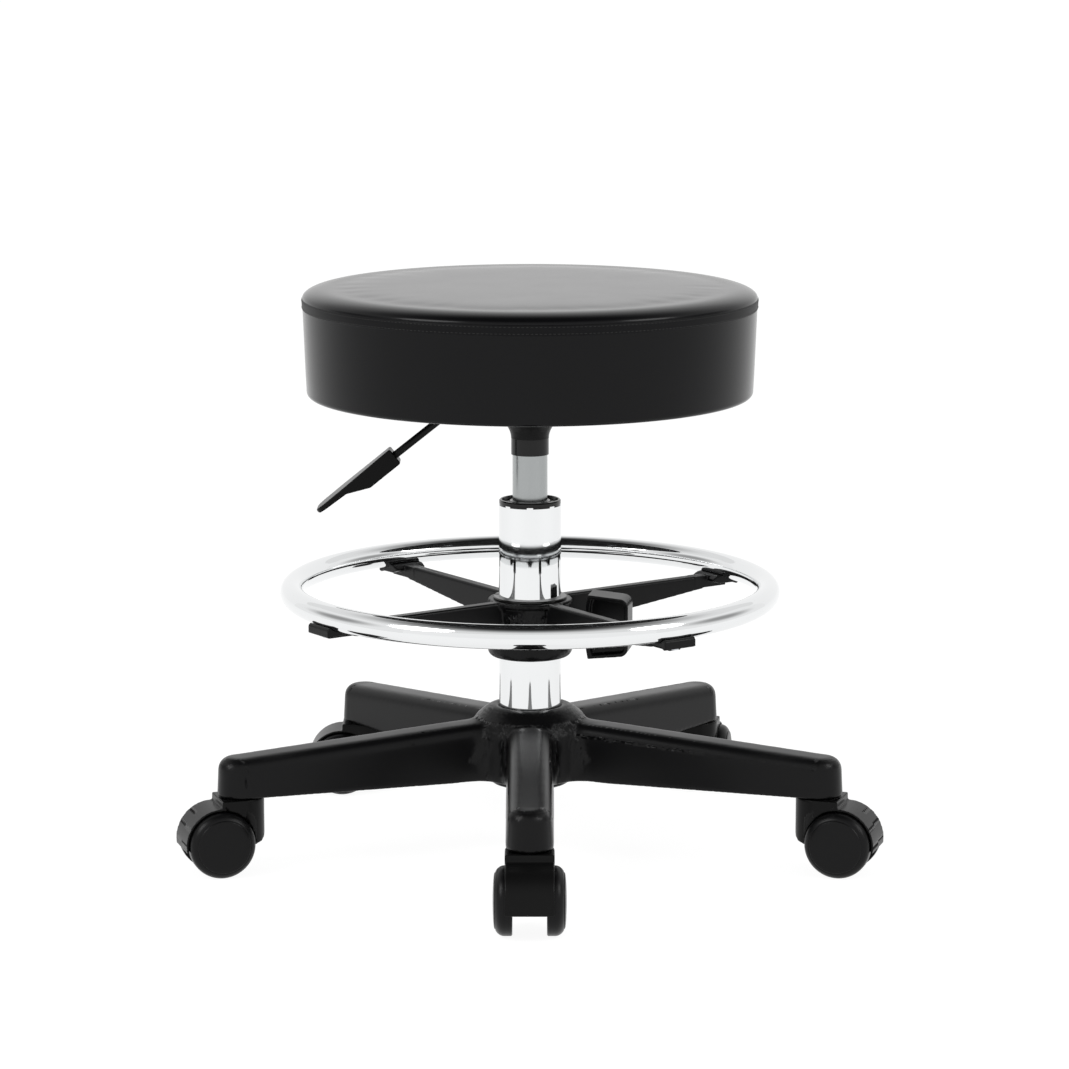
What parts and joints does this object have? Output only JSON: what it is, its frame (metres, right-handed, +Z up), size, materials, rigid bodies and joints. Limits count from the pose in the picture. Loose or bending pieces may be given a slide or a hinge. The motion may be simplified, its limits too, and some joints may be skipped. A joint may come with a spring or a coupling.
{
  "type": "adjustable swivel stool",
  "caption": "Round padded stool on a gas lift, with a chrome column, a clamp-on foot ring on spokes and a star base on twin-wheel casters.",
  "frame": {"origin": "on the floor, on the axis of the column", "axes": "+Z up along the column; the front arm of the base points along -Y; the lever is on the -X side"},
  "size_m": [0.5616, 0.5349, 0.457],
  "materials": {
    "black_nylon": "glass-filled nylon, fine satin grain",
    "bright_chrome": "polished chrome plate",
    "satin_steel": "drawn steel tube, satin",
    "ground_steel": "ground rod and bearing steel",
    "black_steel": "black powder coat",
    "black_gloss": "polished moulded plastic",
    "zinc_steel": "bright zinc plate",
    "black_vinyl": "smooth upholstery vinyl, slight gloss",
    "dust_fabric": "non-woven polypropylene cloth",
    "foam": "open-cell polyurethane foam",
    "plywood": "birch plywood",
    "aluminium": "turned, bare",
    "acetal": "natural acetal"
  },
  "bodies": {
    "base": {"base_star": "black_nylon", "outer_column": "bright_chrome", "guide_bush": "black_gloss", "bearing_lower_washer": "ground_steel", "caster_stem_1": "zinc_steel", "caster_stem_2": "zinc_steel", "caster_stem_3": "zinc_steel", "caster_stem_4": "zinc_steel", "caster_stem_5": "zinc_steel"},
    "lift_rod": {"piston_rod": "ground_steel", "piston": "aluminium", "piston_nut": "zinc_steel", "bearing_upper_washer": "ground_steel", "bearing_balls": "ground_steel", "retaining_clip": "ground_steel"},
    "seat": {"pressure_tube": "satin_steel", "rod_guide": "acetal", "valve_body": "aluminium", "tube_sleeve": "black_gloss", "socket_cone": "black_steel", "seat_plate": "black_steel", "plate_bolts": "zinc_steel", "tee_nuts": "zinc_steel", "seat_board": "plywood", "dust_cloth": "dust_fabric", "seat_foam": "foam", "seat_cover": "black_vinyl", "lever_bracket": "black_steel", "lever_pivot_pin": "zinc_steel"},
    "lever": {"lever_rod": "black_steel", "lever_handle": "black_gloss"},
    "release_pin": {"release_pin": "zinc_steel"},
    "ring_sleeve": {"split_sleeve": "black_gloss"},
    "foot_ring": {"foot_ring": "bright_chrome", "ring_spider": "black_nylon", "saddle_screws": "zinc_steel", "clamp_insert": "aluminium"},
    "clamp_pad": {"clamp_pad": "acetal"},
    "clamp_knob": {"clamp_knob": "black_nylon", "clamp_screw": "zinc_steel"},
    "caster_1": {"caster_housing_1": "black_nylon", "caster_axle_1": "zinc_steel"},
    "wheel_left_1": {"wheel_left_1": "black_nylon"},
    "wheel_right_1": {"wheel_right_1": "black_nylon"},
    "caster_2": {"caster_housing_2": "black_nylon", "caster_axle_2": "zinc_steel"},
    "wheel_left_2": {"wheel_left_2": "black_nylon"},
    "wheel_right_2": {"wheel_right_2": "black_nylon"},
    "caster_3": {"caster_housing_3": "black_nylon", "caster_axle_3": "zinc_steel"},
    "wheel_left_3": {"wheel_left_3": "black_nylon"},
    "wheel_right_3": {"wheel_right_3": "black_nylon"},
    "caster_4": {"caster_housing_4": "black_nylon", "caster_axle_4": "zinc_steel"},
    "wheel_left_4": {"wheel_left_4": "black_nylon"},
    "wheel_right_4": {"wheel_right_4": "black_nylon"},
    "caster_5": {"caster_housing_5": "black_nylon", "caster_axle_5": "zinc_steel"},
    "wheel_left_5": {"wheel_left_5": "black_nylon"},
    "wheel_right_5": {"wheel_right_5": "black_nylon"}
  },
  "joints": [
    {"name": "seat_turn", "type": "hinge", "parent": "base", "child": "lift_rod", "pos_m": [0, 0, 0], "axis": [0, 0, 1], "continuous": true},
    {"name": "seat_height", "type": "slide", "parent": "lift_rod", "child": "seat", "axis": [0, 0, 1], "range_m": [0, 0.12]},
    {"name": "lever_lift", "type": "hinge", "parent": "seat", "child": "lever", "pos_m": [-0.034, 0, 0.3615], "axis": [0, 1, 0], "range_deg": [0, 6.7]},
    {"name": "pin_press", "type": "slide", "parent": "seat", "child": "release_pin", "axis": [0, 0, -1], "range_m": [0, 0.004]},
    {"name": "ring_height", "type": "slide", "parent": "base", "child": "ring_sleeve", "axis": [0, 0, 1], "range_m": [-0.038, 0.066]},
    {"name": "ring_turn", "type": "hinge", "parent": "ring_sleeve", "child": "foot_ring", "pos_m": [0, 0, 0], "axis": [0, 0, 1], "continuous": true},
    {"name": "clamp_travel", "type": "slide", "parent": "foot_ring", "child": "clamp_pad", "axis": [0.9848, -0.1736, 0], "range_m": [0, 0.00225]},
    {"name": "knob_turn", "type": "hinge", "parent": "clamp_pad", "child": "clamp_knob", "pos_m": [0, 0, 0.186], "axis": [0.9848, -0.1736, 0], "range_deg": [0, 540]},
    {"name": "caster_1_swivel", "type": "hinge", "parent": "base", "child": "caster_1", "pos_m": [0, -0.241, 0.06], "axis": [0, 0, 1], "continuous": true},
    {"name": "wheel_left_1_spin", "type": "hinge", "parent": "caster_1", "child": "wheel_left_1", "pos_m": [0, -0.2604, 0.0264], "axis": [1, 0, 0], "continuous": true},
    {"name": "wheel_right_1_spin", "type": "hinge", "parent": "caster_1", "child": "wheel_right_1", "pos_m": [0, -0.2604, 0.0264], "axis": [1, 0, 0], "continuous": true},
    {"name": "caster_2_swivel", "type": "hinge", "parent": "base", "child": "caster_2", "pos_m": [0.2292, -0.07447, 0.06], "axis": [0, 0, 1], "continuous": true},
    {"name": "wheel_left_2_spin", "type": "hinge", "parent": "caster_2", "child": "wheel_left_2", "pos_m": [0.24765, -0.08047, 0.0264], "axis": [0.309, 0.9511, 0], "continuous": true},
    {"name": "wheel_right_2_spin", "type": "hinge", "parent": "caster_2", "child": "wheel_right_2", "pos_m": [0.24765, -0.08047, 0.0264], "axis": [0.309, 0.9511, 0], "continuous": true},
    {"name": "caster_3_swivel", "type": "hinge", "parent": "base", "child": "caster_3", "pos_m": [0.14166, 0.19497, 0.06], "axis": [0, 0, 1], "continuous": true},
    {"name": "wheel_left_3_spin", "type": "hinge", "parent": "caster_3", "child": "wheel_left_3", "pos_m": [0.14502, 0.21408, 0.0264], "axis": [-0.9848, 0.1736, 0], "continuous": true},
    {"name": "wheel_right_3_spin", "type": "hinge", "parent": "caster_3", "child": "wheel_right_3", "pos_m": [0.14502, 0.21408, 0.0264], "axis": [-0.9848, 0.1736, 0], "continuous": true},
    {"name": "caster_4_swivel", "type": "hinge", "parent": "base", "child": "caster_4", "pos_m": [-0.14166, 0.19497, 0.06], "axis": [0, 0, 1], "continuous": true},
    {"name": "wheel_left_4_spin", "type": "hinge", "parent": "caster_4", "child": "wheel_left_4", "pos_m": [-0.16106, 0.19497, 0.0264], "axis": [0, -1, 0], "continuous": true},
    {"name": "wheel_right_4_spin", "type": "hinge", "parent": "caster_4", "child": "wheel_right_4", "pos_m": [-0.16106, 0.19497, 0.0264], "axis": [0, -1, 0], "continuous": true},
    {"name": "caster_5_swivel", "type": "hinge", "parent": "base", "child": "caster_5", "pos_m": [-0.2292, -0.07447, 0.06], "axis": [0, 0, 1], "continuous": true},
    {"name": "wheel_left_5_spin", "type": "hinge", "parent": "caster_5", "child": "wheel_left_5", "pos_m": [-0.24765, -0.08047, 0.0264], "axis": [0.309, -0.9511, 0], "continuous": true},
    {"name": "wheel_right_5_spin", "type": "hinge", "parent": "caster_5", "child": "wheel_right_5", "pos_m": [-0.24765, -0.08047, 0.0264], "axis": [0.309, -0.9511, 0], "continuous": true}
  ],
  "couplings": [
    {"joint": "pin_press", "follows": "lever_lift", "m_per_rad": 0.034},
    {"joint": "knob_turn", "follows": "clamp_travel", "rad_per_m": 4188.8}
  ]
}
